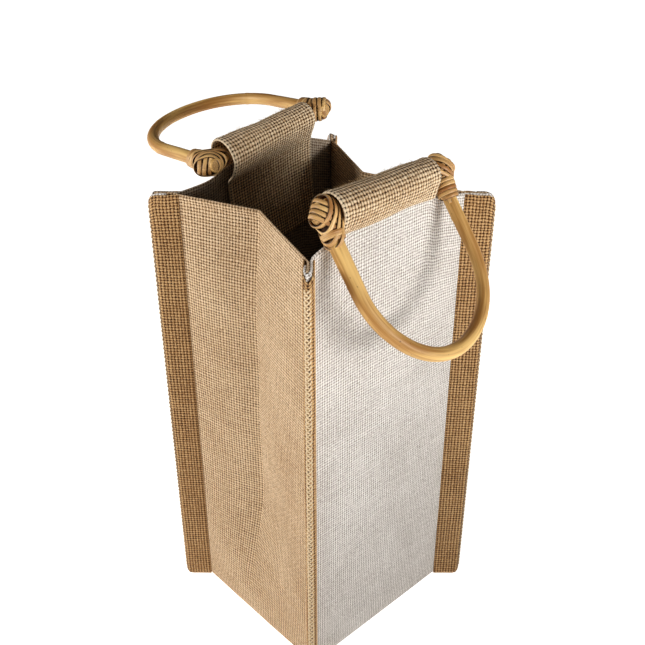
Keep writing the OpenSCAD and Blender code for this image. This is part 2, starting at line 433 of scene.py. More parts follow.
def shell(name, mid, material, body, nodes, half=None, relief=RELIEF, rolled=(0, 0, 0, 0),
          inner=None, edge_map=False):
    """A closed cloth around its middle surface. mid has a row for each half weft and a column
    for each half warp. rolled thickens the first and last columns and the first and last rows."""
    rows, columns = mid.shape[:2]
    normal = unit(np.cross(np.gradient(mid, axis=1), np.gradient(mid, axis=0)))
    i, j = np.meshgrid(np.arange(columns), np.arange(rows))
    bump = relief * ((1 - 2 * (i % 2)) + (1 - 2 * (j % 2))) / 2
    thick = np.full((rows, columns), cloth / 2) if half is None else half
    shape = np.array([0.4, 1.0, 1.0, 0.7, 0.4, 0.15])
    for k, gain in enumerate(rolled):
        for step, share in enumerate(shape):
            line = [(slice(None), step), (slice(None), -1 - step), (step,), (-1 - step,)][k]
            thick[line] *= 0.45 if step == 0 else 1 + gain * share
    outer = mid + normal * (thick + bump)[..., None]
    under = mid - normal * (thick + bump)[..., None]
    count = rows * columns
    a = (np.arange(rows - 1)[:, None] * columns + np.arange(columns - 1)).ravel()
    face = np.stack([a, a + 1, a + columns + 1, a + columns], 1)
    quads = [face, face[:, ::-1] + count]
    across, down = np.arange(columns), np.arange(rows) * columns
    for line, turned in ((across, True), ((rows - 1) * columns + across, False),
                         (down, False), (down + columns - 1, True)):
        p, q = line[:-1], line[1:]
        side = np.stack([p, q, q + count, p + count], 1)
        quads.append(side[:, ::-1] if turned else side)
    weave = np.stack([(i + 1) / 2, (j + 1) / 2], -1).reshape(-1, 2)
    maps = [("weave", np.concatenate([weave, weave]))]
    if edge_map:
        step = np.linalg.norm(mid[0, 1] - mid[0, 0])
        near = np.minimum(i, columns - 1 - i) * step
        pair = np.stack([near, near], -1).reshape(-1, 2)
        maps.append(("edge", np.concatenate([pair, pair])))
    slots = None
    # The inside face can take a material of its own, a darker copy of the cloth: painted shade for
    # the bag's inside
    if inner is not None:
        slots = np.repeat([0, 1, 0], [len(face), len(face), sum(len(q) for q in quads[2:])])
    mesh = make_mesh(name, np.concatenate([outer.reshape(-1, 3), under.reshape(-1, 3)]),
                     np.concatenate(quads), [material] + ([inner] if inner else []), maps, slots)
    return add_object(name, mesh, body, *nodes), outer, normal


def wander(mid, seed, reach=0.28 * MM, wave=0.6 * MM, calm=6):
    """Yarns that aren't quite straight, and cloth that isn't quite flat, but for calm columns
    at each end, which lie inside a seam."""
    rows, columns = mid.shape[:2]
    along_u = unit(np.gradient(mid, axis=1))
    along_v = unit(np.gradient(mid, axis=0))
    normal = unit(np.cross(along_u, along_v))
    inside = (smooth(np.arange(columns) / 6) * smooth(np.arange(columns)[::-1] / 6))[None, :] \
        * (smooth(np.arange(rows) / 6) * smooth(np.arange(rows)[::-1] / 6))[:, None]
    push_u = waves(rows, columns, 38, 5, seed) + 0.5 * waves(rows, columns, 12, 4, seed + 1)
    push_v = waves(rows, columns, 5, 38, seed + 2) + 0.5 * waves(rows, columns, 4, 12, seed + 3)
    out = (0.9 * waves(rows, columns, 55, 30, seed + 4)
           + 0.35 * waves(rows, columns, 17, 13, seed + 5))
    ends = np.minimum(np.arange(columns), np.arange(columns)[::-1])
    out *= smooth((ends - calm) / 8)[None, :]
    return mid + inside[..., None] * (along_u * (reach * push_u)[..., None]
                                      + along_v * (reach * push_v)[..., None]
                                      + normal * (wave * out)[..., None])


def plan(half_s, crease=None, fold=0.0, bulge=(0.0, 0.0)):
    """One side of the bag seen from above: along the side, then outwards from its face.
    Both ends turn out into the bound seams, where a panel's edge folds round a gusset's."""
    lead = np.array([-ROOT_HALF, ROOT_HALF])
    aside = np.array([ROOT_HALF, ROOT_HALF])
    corner = np.array([-half_s, 0.0])

    def inside_seam(reach, across):
        return corner + lead * reach * MM + aside * across * MM

    if crease is None:
        start = [inside_seam(*at) for at in ((4, -1.3), (7, -1.35), (10.2, -1.3), (11.4, 0),
                                             (10.2, 1.3), (7, 1.35), (3, 1.3), (0.2, 1.0))]
    else:
        start = [inside_seam(*at) for at in ((10, 0), (7, 0), (3, 0), (0.3, 0.1))]
    start.append(corner + [2.6 * MM, -cloth / 2])
    if crease is None:
        middle = [[(2 * t - 1) * half_s, bulge[0] * math.sin(math.pi * t) - cloth / 2]
                  for t in np.linspace(0.08, 0.92, 12)]
    else:
        def flank(a, b, steps, swell):
            return [a + (b - a) * t + [0, swell * math.sin(math.pi * t)] for t in steps]

        low = np.array([crease, -cloth / 2 - fold])
        side_end = np.array([half_s - 3 * MM, -cloth / 2])
        steps = np.array([0.12, 0.3, 0.5, 0.7, 0.86, 0.95])
        middle = (flank(side_end * [-1, 1], low, steps, bulge[0]) + [low]
                  + flank(low, side_end, 1 - steps[::-1], bulge[1]))
    end = [np.array([-p[0], p[1]]) for p in start[::-1]]
    return rounded(np.array(start + middle + end), 3)


def fin_drop(reach):
    """How far a bound seam's rounded top is below the rim, reach out from its corner."""
    past = np.clip(reach - (fin_l - fin_r), 0, fin_r * 0.999)
    return fin_r - np.sqrt(fin_r ** 2 - past ** 2)


# Each side of the bag, going round it anticlockwise: the way along it, and the way out
SIDES = {"front": ((1, 0), (0, -1), half_w, half_d), "right": ((0, 1), (1, 0), half_d, half_w),
         "back": ((-1, 0), (0, 1), half_w, half_d), "left": ((0, -1), (-1, 0), half_d, half_w)}


def side_cloth(side, seed, rests_on, pitch, rim, bulge, crease=None, wave=0.6 * MM, **more):
    """A panel, or a gusset if it has a crease. rim gives the rim's height above the corners,
    from the distance along the side."""
    way, out, half_s, face = SIDES[side]
    way, out = np.array(way, float), np.array(out, float)
    rows = 2 * int(rim_z / pitch) + 1
    shape = plan(half_s, crease, fold_depth)
    length = steps_of(shape).sum()
    columns = 2 * int(length / pitch) + 1
    mid = np.empty((rows, columns, 3))
    for row, z in enumerate(np.linspace(0.4 * MM, rim_z, rows)):
        fold = fold_depth * smooth((z - 3 * MM) / (90 * MM)) \
            + fold_rim * smooth((z - rim_z + 55 * MM) / (55 * MM))
        swell = math.sin(math.pi * min(1, z / rim_z) ** 0.8)
        line = resample(plan(half_s, crease, fold, (bulge[0] * swell, bulge[1] * swell)), columns)
        tuck = 2.2 * MM * (1 - math.sqrt(max(0.0, 1 - max(0.0, 1 - z / (2.2 * MM)) ** 2)))
        reach = np.maximum(0, np.abs(line[:, 0]) - half_s) / ROOT_HALF
        out_by = line[:, 1] - tuck * (reach == 0)
        top = np.where(reach > 0, 0.3 * MM - fin_drop(reach), rim(line[:, 0] * (way[0] or 1)))
        share = smooth((z - 0.62 * rim_z) / (0.38 * rim_z))
        mid[row, :, :2] = line[:, :1] * way + (face + out_by[:, None]) * out
        mid[row, :, 2] = z + top * share
    half = np.full(columns, cloth / 2)
    kind, calm = "panel", 30
    if crease is not None:  # the edge is turned over once inside the seam
        kind, calm = "gusset", 16
        past = np.abs(resample(shape, columns)[:, 0]) - half_s
        half = half + 0.42 * MM * smooth((past - 1.5 * MM) / (2 * MM))
    piece, outer, normal = shell(
        f"{side}_{kind}_cloth", wander(mid, seed, wave=wave, calm=calm), body="bag",
        nodes=[f"{side}_{kind}"], rolled=(0, 0, 0, 0.45), half=np.tile(half, (rows, 1)), **more)
    return outer, normal


def rim_curve(points):
    x, z = zip(*points)
    fine = rounded(np.stack([x, z], 1), 2)
    return lambda s: np.interp(s, fine[:, 0], fine[:, 1])


front_bar, _ = hinge("front")
back_bar, back_axis = hinge("back")
front_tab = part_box("front_panel")[1][2] - rim_z
slope = math.atan2(back_axis[2], back_axis[0])
back_tab = back_bar[2] - rim_z - 7 * MM / math.cos(slope)

# In millimetres from the bar's middle, and above the corners
FRONT_RIM = ((-50, 0), (-46, 1.6), (-41, 3.2), (-36, 4.4), (-31, 5.6), (-27.5, 8.4), (-20, 9),
             (20, 9), (27.5, 8.4), (31, 5.6), (36, 4.6), (41, 3.6), (48, 1.4), (56, 0))
front_rim = rim_curve([(front_bar[0] + x * MM, min(z * MM, front_tab - 0.6 * MM))
                       for x, z in FRONT_RIM])
back_rim = rim_curve(
    [(-half_w, 0), (-38 * MM, 0.1 * MM), (-30 * MM, 1.2 * MM)]
    + [(back_bar[0] + x * MM, back_tab - 0.8 * MM + x * MM * math.tan(slope))
       for x in (-27, 0, 27)]
    + [(back_bar[0] + 32 * MM, 6.4 * MM), (back_bar[0] + 41 * MM, 3.4 * MM), (half_w, 0)])


def gusset_rim(s):
    return -0.5 * MM * np.sin(np.pi * (s / half_d + 1) / 2) ** 2


PANEL = {"pitch": WHITE_PITCH, "material": juco, "inner": juco_inside_painted_shade, "wave": 0.15 * MM,
         "bulge": (1.2 * MM, 0)}
GUSSET = {"pitch": JUTE_PITCH, "material": jute, "rim": gusset_rim}
side_cloth("front", 11, ["front_left_binding", "front_right_binding", "front_sleeve"],
           rim=front_rim, **PANEL)
side_cloth("back", 21, ["back_left_binding", "back_right_binding", "back_sleeve"],
           rim=back_rim, **PANEL)
left_outer = side_cloth("left", 31, ["front_left_binding", "back_left_binding"],
                        crease=-fold_back, bulge=(2.4 * MM, 0.8 * MM), **GUSSET)
right_outer = side_cloth("right", 41, ["front_right_binding", "back_right_binding"],
                         crease=fold_back, bulge=(0.8 * MM, 2.4 * MM), **GUSSET)

# ---- base

TURN_UP = 9 * MM


def base_cloth():
    """A tray: the cloth runs under the board and turns up a little way inside the bag."""
    half_x, half_y = half_w - cloth - 0.4 * MM, half_d - cloth
    bend, flat = 0.9 * MM, cloth / 2  # heights of the bend at the edge, and of the floor
    across = rounded(mirrored([[0, flat], [half_x - 3 * MM, flat], [half_x, bend],
                               [half_x, TURN_UP]]), 2)
    along = rounded(mirrored([[0, flat], [half_y - 2 * MM, flat], [half_y, bend]]), 2)
    wide = steps_of(across).sum()
    deep = steps_of(along).sum()
    columns, rows = 2 * int(wide / JUTE_PITCH) + 1, 2 * int(deep / JUTE_PITCH) + 1
    a, b = resample(across, columns), resample(along, rows)
    mid = np.empty((rows, columns, 3))
    mid[..., 0] = a[None, :, 0]
    mid[..., 1] = -b[:, None, 0]
    mid[..., 2] = np.maximum(a[None, :, 1], b[:, None, 1])
    piece, _, _ = shell("base_cloth", mid, jute, "bag", ["base_panel"], relief=0.1 * MM)


base_cloth()
board_node = frame["nodes"]["base_board"]
for place in board_node.material_slots:
    place.material = board

# ---- bound corner seams


def corner_axes(x_side, y_side):
    """A corner on the floor, the way out along its diagonal, and the way across the seam."""
    lead = np.array([x_side, y_side, 0.0]) * ROOT_HALF
    across = np.array([-lead[1], lead[0], 0.0])
    origin = np.array([x_side * half_w, y_side * half_d, 0.0])
    return origin, lead, across


def binding(name, x_side, y_side, seed):
    """Tape folded over the seam allowances, from the root on one side round to the other."""
    origin, lead, across = corner_axes(x_side, y_side)
    r = seam_t / 2 - cloth / 2
    root = -2.1 * MM
    fold = [[fin_l - r + r * math.cos(t), r * math.sin(t)] for t in np.linspace(-1.35, 1.35, 9)]
    flank = [[root, r + 0.1 * MM], [3 * MM, r - 0.1 * MM], [7 * MM, r - 0.05 * MM]]
    path = rounded([[x, -y] for x, y in flank] + fold + flank[::-1], 2)
    length = steps_of(path).sum()
    pitch = JUTE_PITCH * 1.04
    columns, rows = 2 * int(length / pitch) + 1, 2 * int(rim_z / pitch) + 1
    line = resample(path, columns)
    mid = np.empty((rows, columns, 3))
    sway = waves(rows, 2, 60, 1, seed)[:, 0] * 0.5 * MM
    for row, z in enumerate(np.linspace(0.6 * MM, rim_z, rows)):
        share = smooth((z - 0.9 * rim_z) / (0.1 * rim_z))
        foot = smooth(1 - z / (8 * MM))
        reach = line[:, 0]
        lean = sway[row] * np.clip(reach / fin_l, 0, 1)
        mid[row] = origin + reach[:, None] * lead + (line[:, 1] + lean)[:, None] * across
        low = fin_drop(reach) + 0.5 * MM * smooth(reach / (5 * MM))
        mid[row, :, 2] = z - low * share + fin_drop(reach) * foot * 0.6
    mid = wander(mid, seed + 1, 0.3 * MM, 0.0)
    piece, _, _ = shell(f"{name}_tape", mid, jute_bound, "bag", [f"{name}_binding"],
                        rolled=(-0.4, -0.4, 0, 0.1))


CORNERS = {"front_left": (-1, -1), "front_right": (1, -1),
           "back_left": (-1, 1), "back_right": (1, 1)}
for number, (corner, (x_side, y_side)) in enumerate(CORNERS.items()):
    binding(corner, x_side, y_side, 100 + 10 * number)

# ---- tubes, strips and braids


def ring_faces(rings, sides, closed):
    last = rings if closed else rings - 1
    a = (np.arange(last)[:, None] * sides + np.arange(sides)).ravel()
    b = (np.arange(last)[:, None] * sides + (np.arange(sides) + 1) % sides).ravel()
    nxt = (np.arange(1, last + 1) % rings)
    c = (nxt[:, None] * sides + (np.arange(sides) + 1) % sides).ravel()
    d = (nxt[:, None] * sides + np.arange(sides)).ravel()
    return np.stack([a, b, c, d], 1)


class Parts:
    """Collects tubes and strips, to make them one mesh."""

    def __init__(self):
        self.points, self.quads, self.uv, self.slots, self.count = [], [], [], [], 0

    def add(self, points, quads, uv, slot=0):
        self.points.append(points)
        self.quads.append(quads + self.count)
        self.uv.append(uv)
        self.slots.append(np.full(len(quads), slot))
        self.count += len(points)

    def sweep(self, path, out, section, closed=False, slot=0, tag=0.0, widths=None):
        """A closed section along a path. out points away from what the path lies on, and each
        of the section's points is (across, outwards). tag sets one strip's grain apart."""
        path, out, section = (np.asarray(a, float) for a in (path, out, section))
        if closed:
            tangent = unit(np.roll(path, -1, 0) - np.roll(path, 1, 0))
        else:
            tangent = unit(np.gradient(path, axis=0))
        out = unit(out - (out * tangent).sum(1, keepdims=True) * tangent)
        across = np.cross(tangent, out)
        size = np.ones(len(path)) if widths is None else np.asarray(widths)
        sides = len(section)
        ring = (path[:, None] + across[:, None] * (section[None, :, :1] * size[:, None, None])
                + out[:, None] * (section[None, :, 1:] * size[:, None, None]))
        run = run_of(path)
        low, high = section[:, 0].min(), section[:, 0].max()
        uv = np.empty((len(path), sides, 2))
        uv[..., 0] = (section[None, :, 0] - low) / max(high - low, 1e-9)
        uv[..., 1] = run[:, None] + tag
        quads = ring_faces(len(path), sides, closed)
        if not closed:
            quads = np.concatenate([quads, self.cap(0, sides, True),
                                    self.cap((len(path) - 1) * sides, sides, False)])
        self.add(ring.reshape(-1, 3), quads, uv.reshape(-1, 2), slot)

    @staticmethod
    def cap(first, sides, turned):
        """Quads across an end, for a section with an even number of sides."""
        rows = []
        for k in range(sides // 2 - 1):
            quad = [first + k, first + k + 1, first + sides - 2 - k, first + sides - 1 - k]
            rows.append(quad[::-1] if turned else quad)
        return np.array(rows)

    def build(self, name, body, nodes, materials):
        mesh = make_mesh(name, np.concatenate(self.points), np.concatenate(self.quads), materials,
                         [("grain", np.concatenate(self.uv))], np.concatenate(self.slots))
        return add_object(name, mesh, body, *nodes)


def disc(radius, sides=8, flat=1.0):
    turn = 2 * np.pi * np.arange(sides) / sides
    return np.stack([radius * np.cos(turn), flat * radius * np.sin(turn)], 1)


def strip_section(width, thick):
    """Split cane: flat underneath and domed on top."""
    x = np.array([-0.5, -0.44, -0.25, 0.0, 0.25, 0.44, 0.5, 0.3, 0.0, -0.3]) * width
    y = np.array([0.1, 0.62, 0.92, 1.0, 0.92, 0.62, 0.1, 0.0, 0.0, 0.0]) * thick
    return np.stack([x, y], 1)[::-1]


# ---- braided edges of the seams


def braid(name, x_side, y_side):
    """Three strands of thread along the folded edge of a bound seam."""
    origin, lead, across = corner_axes(x_side, y_side)
    low, high = 6 * MM, rim_z - 6.5 * MM
    z = np.arange(low, high, 0.4 * MM)
    parts = Parts()
    turn = 2 * np.pi * z / (8.4 * MM)
    for k in range(3):
        phase = turn + 2 * np.pi * k / 3
        side = 1.25 * MM * np.sin(phase)
        lift = fin_l + 0.3 * MM + 0.32 * MM * np.sin(2 * phase) - 0.35 * MM * np.sin(phase) ** 2
        path = origin + lift[:, None] * lead + side[:, None] * across
        path[:, 2] = z
        parts.sweep(path, np.tile(lead, (len(z), 1)), disc(0.52 * MM, 8), tag=float(k))
    parts.build(f"{name}_edge_braid", "bag", ["edge_stitching"], [thread])


for corner, (x_side, y_side) in CORNERS.items():
    braid(corner, x_side, y_side)

# ---- sleeves


def bar_axes(side):
    """The bar's middle, the way along it, the way out of the bag, and the way up."""
    at, along = hinge(side)
    out = np.array([0.0, -1.0 if side == "front" else 1.0, 0.0])
    up = unit(np.cross(along, [0, 1, 0]))
    return at, along, out, up if up[2] > 0 else -up


def sleeve_line():
    """The sleeve's section: outwards and up from the bar's middle. It starts at the edge sewn
    to the panel's face, goes over the bar, and ends at the foot of the flap inside."""
    face = half_d + front_bar[1]
    r = 7.5 * MM
    foot = np.array([face + 0.55 * MM, -10.5 * MM])
    away = math.atan2(foot[1], foot[0])
    touch = away + math.acos(r / np.linalg.norm(foot))
    arc = [[r * math.cos(t), r * math.sin(t)] for t in np.linspace(touch, math.radians(212), 26)]
    inside = [[-4.9, -7.2], [-2.2, -10.8], [-0.2, -14.5], [0.9, -22], [1.6, -36], [2.0, -50],
              [2.2, -62.5]]
    return rounded(np.array([foot, foot * 0.5 + np.array(arc[0]) * 0.5] + arc
                            + [[a * MM, b * MM] for a, b in inside]), 2)


def sleeve(side, seed, ends, loose):
    """ends are the sleeve's ends along the bar, and loose how wide its tube is there."""
    at, along, out, up = bar_axes(side)
    turned = 1 if side == "front" else -1
    line = sleeve_line()
    length = steps_of(line).sum()
    columns = 2 * int((ends[1] - ends[0]) / SLEEVE_PITCH) + 1
    rows = 2 * int(length / SLEEVE_PITCH) + 1
    line = resample(line, rows)
    place = np.linspace(*sorted(end * turned for end in ends), columns)
    width = np.interp(place * turned, ends, loose)
    mid = np.empty((rows, columns, 3))
    soft = waves(rows, columns, 14, 16, seed)
    for row, (a, b) in enumerate(line):
        flap = smooth((-b - 20 * MM) / (30 * MM)) if row > rows / 3 else 0.0
        hem = 0.5 * MM * np.sin(place / (7 * MM) + seed) * (row < 6)
        narrow = 1 - 0.02 * flap
        tube = 1 + (width - 1) * smooth((b + 15 * MM) / (8 * MM)) * smooth(row / 7)
        mid[row] = at + place[:, None] * narrow * (turned * along) + (a * tube)[:, None] * out \
            + (b * tube + hem)[:, None] * up
        radial = unit(a * out + b * up)
        mid[row] += radial * (0.28 * MM * soft[row])[:, None] * (1 - flap)
    mid = wander(mid, seed + 1, 0.3 * MM)
    piece, outer, normal = shell(f"{side}_sleeve_cloth", mid, jute_tube, "bag", [f"{side}_sleeve"],
                                 relief=0.2 * MM, rolled=(0.5, 0.5, 0.25, 0), edge_map=True)
    return outer, normal


front_sleeve_outer = sleeve("front", 201, (-33.4 * MM, 29.6 * MM), (1.12, 0.98))
back_sleeve_outer = sleeve("back", 231, (-28.5 * MM, 28.4 * MM), (1.2, 0.88))


def sleeve_stitches(side):
    """A row of short stitches just above each sleeve's front edge."""
    at, along, out, up = bar_axes(side)
    face = half_d + front_bar[1]
    parts = Parts()
    x = np.linspace(-1.6 * MM, 1.6 * MM, 9)
    away = face + cloth + 0.35 * MM + 0.28 * MM * np.cos(np.pi * x / (3.4 * MM))
    for k in range(12):
        along_bar = (k - 5.5) * 4.6 * MM + x
        path = at + along_bar[:, None] * along + away[:, None] * out - (8.7 * MM) * up
        parts.sweep(path, np.tile(out, (9, 1)), disc(0.24 * MM, 6), tag=float(k))
    parts.build(f"{side}_sleeve_stitches", "bag", ["sleeve_stitching"], [thread])


for side in ("front", "back"):
    sleeve_stitches(side)

# ---- handles


class Handle:
    """A handle's own axes: along the bar, across the hoop, and up its arms."""

    def __init__(self, side):
        self.at, self.x = hinge(side)
        corners = [tuple(v.co) for v in frame["nodes"][f"{side}_hoop"].data.vertices]
        middle = np.array(corners).mean(0) - self.at
        down = unit(middle - middle.dot(self.x) * self.x)
        self.z = -down
        self.y = np.cross(self.z, self.x)

    def place(self, points):
        return self.at + self.turn(points)

    def turn(self, points):
        points = np.asarray(points, float)
        return points[..., :1] * self.x + points[..., 1:2] * self.y + points[..., 2:] * self.z


ARM_LEAN = {"front": -0.13, "back": 0.0}  # how far along the bar the arms lean, for each mm down


def arm_shift(side, z):
    """The arms lean to one side below the joints, and come back to the middle at the bow."""
    reach = 13 * MM
    return ARM_LEAN[side] * np.clip(-z, 0, reach) * (1 - smooth((-z - 38 * MM) / (40 * MM)))


def hoop(side, radii, knots, seed):
    """The bent cane, from the left arm's end down round the bow and up the right arm."""
    handle = Handle(side)
    t = np.linspace(np.pi, 0, 90)
    bow = np.stack([arm_x * np.cos(t), -arm_l - bow_l * np.sin(t)], 1)
    path = np.concatenate([[[-arm_x, arm_top]], bow, [[arm_x, arm_top]]])
    rings = 230
    path = resample(path, rings)
    path[:, 0] += arm_shift(side, path[:, 1])
    path = resample(rounded(path, 1), rings)
    length = steps_of(path).sum()
    run = np.linspace(0, length, rings)
    tangent = unit(np.gradient(path, axis=0))
    outside = np.stack([tangent[:, 1], -tangent[:, 0]], 1)
    outside *= np.sign((outside * (path - [0, -20 * MM])).sum(1, keepdims=True) + 1e-9)
    hold = smooth((run - 20 * MM) / (25 * MM)) * smooth((length - run - 20 * MM) / (25 * MM))
    sway = waves(rings, 2, 42, 1, seed)
    path = path + outside * (0.55 * MM * sway[:, :1]) * hold[:, None]
    lift = 0.6 * MM * sway[:, 1] * hold
    radius = np.interp(run / length, [0, 0.25, 0.5, 0.75, 1], np.array(radii) * MM)
    radius *= 1 + 0.012 * waves(rings, 2, 9, 1, seed + 1)[:, 0]
    for where, size in knots:
        near = (run - where * length) / (1.3 * MM)
        radius += size * MM * (np.exp(-near ** 2) - 0.35 * np.exp(-(near / 2.6) ** 2))
    sides = 32
    around = 2 * np.pi * np.arange(sides) / sides
    dent = waves(rings, sides, 22, 5, seed + 2) * 0.010
    dent[:, -3:] = dent[:, -3:] * [0.75, 0.5, 0.25] + dent[:, :1] * [0.25, 0.5, 0.75]
    reach = radius[:, None] * (1 + dent)

    def ring(k, shrink=1.0, push=0.0):
        flat = path[k] + tangent[k] * push
        spread = reach[k] * shrink
        x = flat[0] + outside[k, 0] * spread * np.cos(around)
        z = flat[1] + outside[k, 1] * spread * np.cos(around)
        return np.stack([x, lift[k] + spread * np.sin(around), z], 1)

    # Bevelled ends: extra rings that close in to the cut face
    bevel = 0.5 * MM
    closing = ((0.02, bevel), (0.45, bevel), (0.84, bevel), (0.95, 0.6 * bevel))
    first = [ring(0, shrink, -push) for shrink, push in closing]
    last = [ring(rings - 1, shrink, push) for shrink, push in closing[::-1]]
    every = np.array(first + [ring(k) for k in range(rings)] + last)
    quads = ring_faces(len(every), sides, False)[:, ::-1]
    slots = np.zeros(len(quads))
    slots[:2 * sides] = slots[-2 * sides:] = 1
    uv = np.empty((len(every), sides, 2))
    uv[..., 0] = np.abs(around - np.pi)[None, :] * cane_r
    uv[..., 1] = np.concatenate([np.zeros(4), run, np.full(4, length)])[:, None]
    mesh = make_mesh(f"{side}_hoop_cane", handle.place(every.reshape(-1, 3)), quads,
                     [cane, cane_end], [("grain", uv.reshape(-1, 2))], slots)
    return add_object(f"{side}_hoop_cane", mesh, f"{side}_handle", f"{side}_hoop")


hoop("front", (4.0, 3.55, 3.35, 3.1, 3.3), ((0.30, 0.16), (0.62, 0.14), (0.86, 0.22)), 301)
hoop("back", (3.6, 3.3, 3.15, 3.2, 3.3), ((0.24, 0.2), (0.42, 0.12), (0.7, 0.16)), 321)


def bar_cane(side):
    """The bar, with its cut ends just outside the lashings."""
    handle = Handle(side)
    end, sides = arm_x + 6.3 * MM, 20
    tip = np.array([end, end - 0.1 * MM, end - 0.5 * MM])
    x = np.concatenate([-tip, np.linspace(-end + 1.2 * MM, end - 1.2 * MM, 60), tip[::-1]])
    width = np.ones(len(x))
    width[:3] = width[-1:-4:-1] = (0.75, 0.93, 1.0)
    path = handle.place(np.stack([x, 0 * x, 0 * x], 1))
    parts = Parts()
    parts.sweep(path, np.tile(handle.z, (len(x), 1)), disc(cane_r, sides), widths=width)
    caps = 2 * (sides // 2 - 1)  # quads, after those of the rings
    parts.slots[0][:2 * sides] = parts.slots[0][-caps - 2 * sides:] = 1
    parts.build(f"{side}_bar_cane", f"{side}_handle", [f"{side}_bar"], [cane, cane_end])


for side in ("front", "back"):
    bar_cane(side)


def lashing(side, x_side, arm_r, seed, ball, lean, front_turn, layers, rings, top=3.2,
            crossed=(-4.6, -2.1, 0.4, 2.9), tailed=True):
    """Split cane bound round the joint of an arm and the bar. Most turns lie in parallel planes
    across the corner of arm and bar: lean is how steeply they fall outwards, front_turn how far
    round to the front their low side is, and layers their distances from the joint. rings is
    the first and last height of the plain turns round the arm, how many they are, and how
    much wider the first is. crossed holds the distances of the turns below, the other way.
    The lengths are in millimetres."""
    arm_r, ball, top, stub = arm_r * MM, ball * MM, top * MM, 4.6 * MM
    ring_top, ring_foot, ring_turns, ring_wider = rings
    ring_top, ring_foot, ring_wider = ring_top * MM, ring_foot * MM, ring_wider * MM
    handle = Handle(side)
    name = f"{side}_{'left' if x_side < 0 else 'right'}_lashing"
    rng = np.random.default_rng(seed)
    centre = np.array([x_side * arm_x, 0, 0])
    outward = np.array([x_side, 0, 0.0])
    front = unit(np.array([0, handle.y @ [0, -1, 0], 0.0]))
    up = np.array([0, 0, 1.0])
    arm_way = unit(np.array([ARM_LEAN[side], 0, -1.0]))
    parts = Parts()
    section = strip_section(2.25 * MM, 0.72 * MM)

    def rod(p, way, low, high, r0, r1):
        along = np.clip(p @ way, low, high)
        radius = r0 + (r1 - r0) * (along - low) / (high - low)
        return np.linalg.norm(p - along[..., None] * way, axis=-1) - radius

    def depth(p):
        """How far points are outside the joint's rounded shape: a ball, the arm and the bar."""
        shapes = [np.linalg.norm(p, axis=-1) - ball,
                  rod(p, arm_way, -top, -ring_foot, arm_r + 0.7 * MM, arm_r + 0.45 * MM),
                  rod(p, outward, -8.0 * MM, stub, cane_r + 0.5 * MM, cane_r + 0.3 * MM)]
        soft = 0.8 * MM
        return -soft * np.log(sum(np.exp(-d / soft) for d in shapes))

    def slope(p):
        step = 0.05 * MM
        return unit(np.stack([depth(p + step * np.eye(3)[k]) - depth(p - step * np.eye(3)[k])
                              for k in range(3)], -1))

    def lay(points, out, section=section, **more):
        parts.sweep(handle.place(centre + points), handle.turn(out), section, **more)

    def blurred(ring):
        return np.roll(ring, 1, 0) + 2 * ring + np.roll(ring, -1, 0)

    def loop(normal, distance, lift, sway):
        """A strip pulled tight round everything that a plane cuts."""
        normal = unit(normal)
        e1 = unit(np.cross(normal, [0.1, 1.0, 0.2]))
        e2 = np.cross(normal, e1)
        grid = np.linspace(-19 * MM, 19 * MM, 150)
        a, b = np.meshgrid(grid, grid)
        p = normal * distance + a[..., None] * e1 + b[..., None] * e2
        inside = depth(p) < 0
        if inside.sum() < 60:
            return
        flat = np.stack([a[inside], b[inside]], 1)
        t = np.linspace(0, 2 * np.pi, 160, endpoint=False)
        way = np.stack([np.cos(t), np.sin(t)], 1)
        hull = flat[np.argmax(flat @ way.T, axis=0)]
        hull = resample(np.concatenate([hull, hull[:1]]), 81)[:-1]  # 80 points, evenly spaced
        for _ in range(4):
            hull = blurred(hull) / 4
        middle = hull.mean(0)
        turn = np.linspace(0, 2 * np.pi, 80, endpoint=False)
        wave = sway * (np.sin(2 * turn + 7 * distance / MM)
                       + 0.5 * np.sin(3 * turn + rng.uniform(0, 6)))
        p = normal * distance + hull[:, :1] * e1 + hull[:, 1:] * e2 + wave[:, None] * normal
        flat_out = unit((hull - middle)[:, :1] * e1 + (hull - middle)[:, 1:] * e2)
        out = unit(slope(p) + 0.8 * flat_out)
        for _ in range(3):
            out = unit(blurred(out))
        lay(p + out * lift, out, closed=True, tag=float(rng.integers(40)))

    def coil(start, end, turns, radius):
        """Plain turns round the arm, that narrow downwards; both ends are tucked in."""
        n = int(turns * 30)
        t = np.linspace(0, 2 * np.pi * turns, n)
        along = np.linspace(start, end, n)
        e1, e2 = np.array([0, 1.0, 0]), unit(np.cross(arm_way, [0, 1.0, 0]))
        spin = np.cos(t + seed)[:, None] * e1 + np.sin(t + seed)[:, None] * e2
        r = np.linspace(*radius, n) * (1 + 0.015 * np.sin(3 * t + seed))
        r = r - 0.6 * MM * np.exp(-t / 0.4) - 0.6 * MM * np.exp(-(t[-1] - t) / 0.4)
        lay(spin * r[:, None] - arm_way * along[:, None], spin, tag=float(rng.integers(40)))

    def shadow_core(way, heights, radii):
        """Dark bodies below the outer turns: painted shadow where the under layers show between the
        strips.
        """
        lay(np.outer(heights, way), np.tile([0, 1.0, 0], (len(heights), 1)), disc(1.0, 24),
            slot=1, widths=radii)

    shadow_core(arm_way, np.linspace(-min(top + 1 * MM, 4.2 * MM), 0.2 * MM - ring_foot, 14),
         np.full(14, arm_r + 0.6 * MM))
    shadow_core(outward, np.linspace(-8.4 * MM, stub + 0.4 * MM, 14),
         np.linspace(cane_r + 0.35 * MM, cane_r + 0.3 * MM, 14))
    heights = np.linspace(-ball * 0.98, ball * 0.98, 24)
    shadow_core(up, heights,
         np.sqrt(np.maximum((ball * 0.98) ** 2 - heights ** 2, (0.6 * MM) ** 2)))

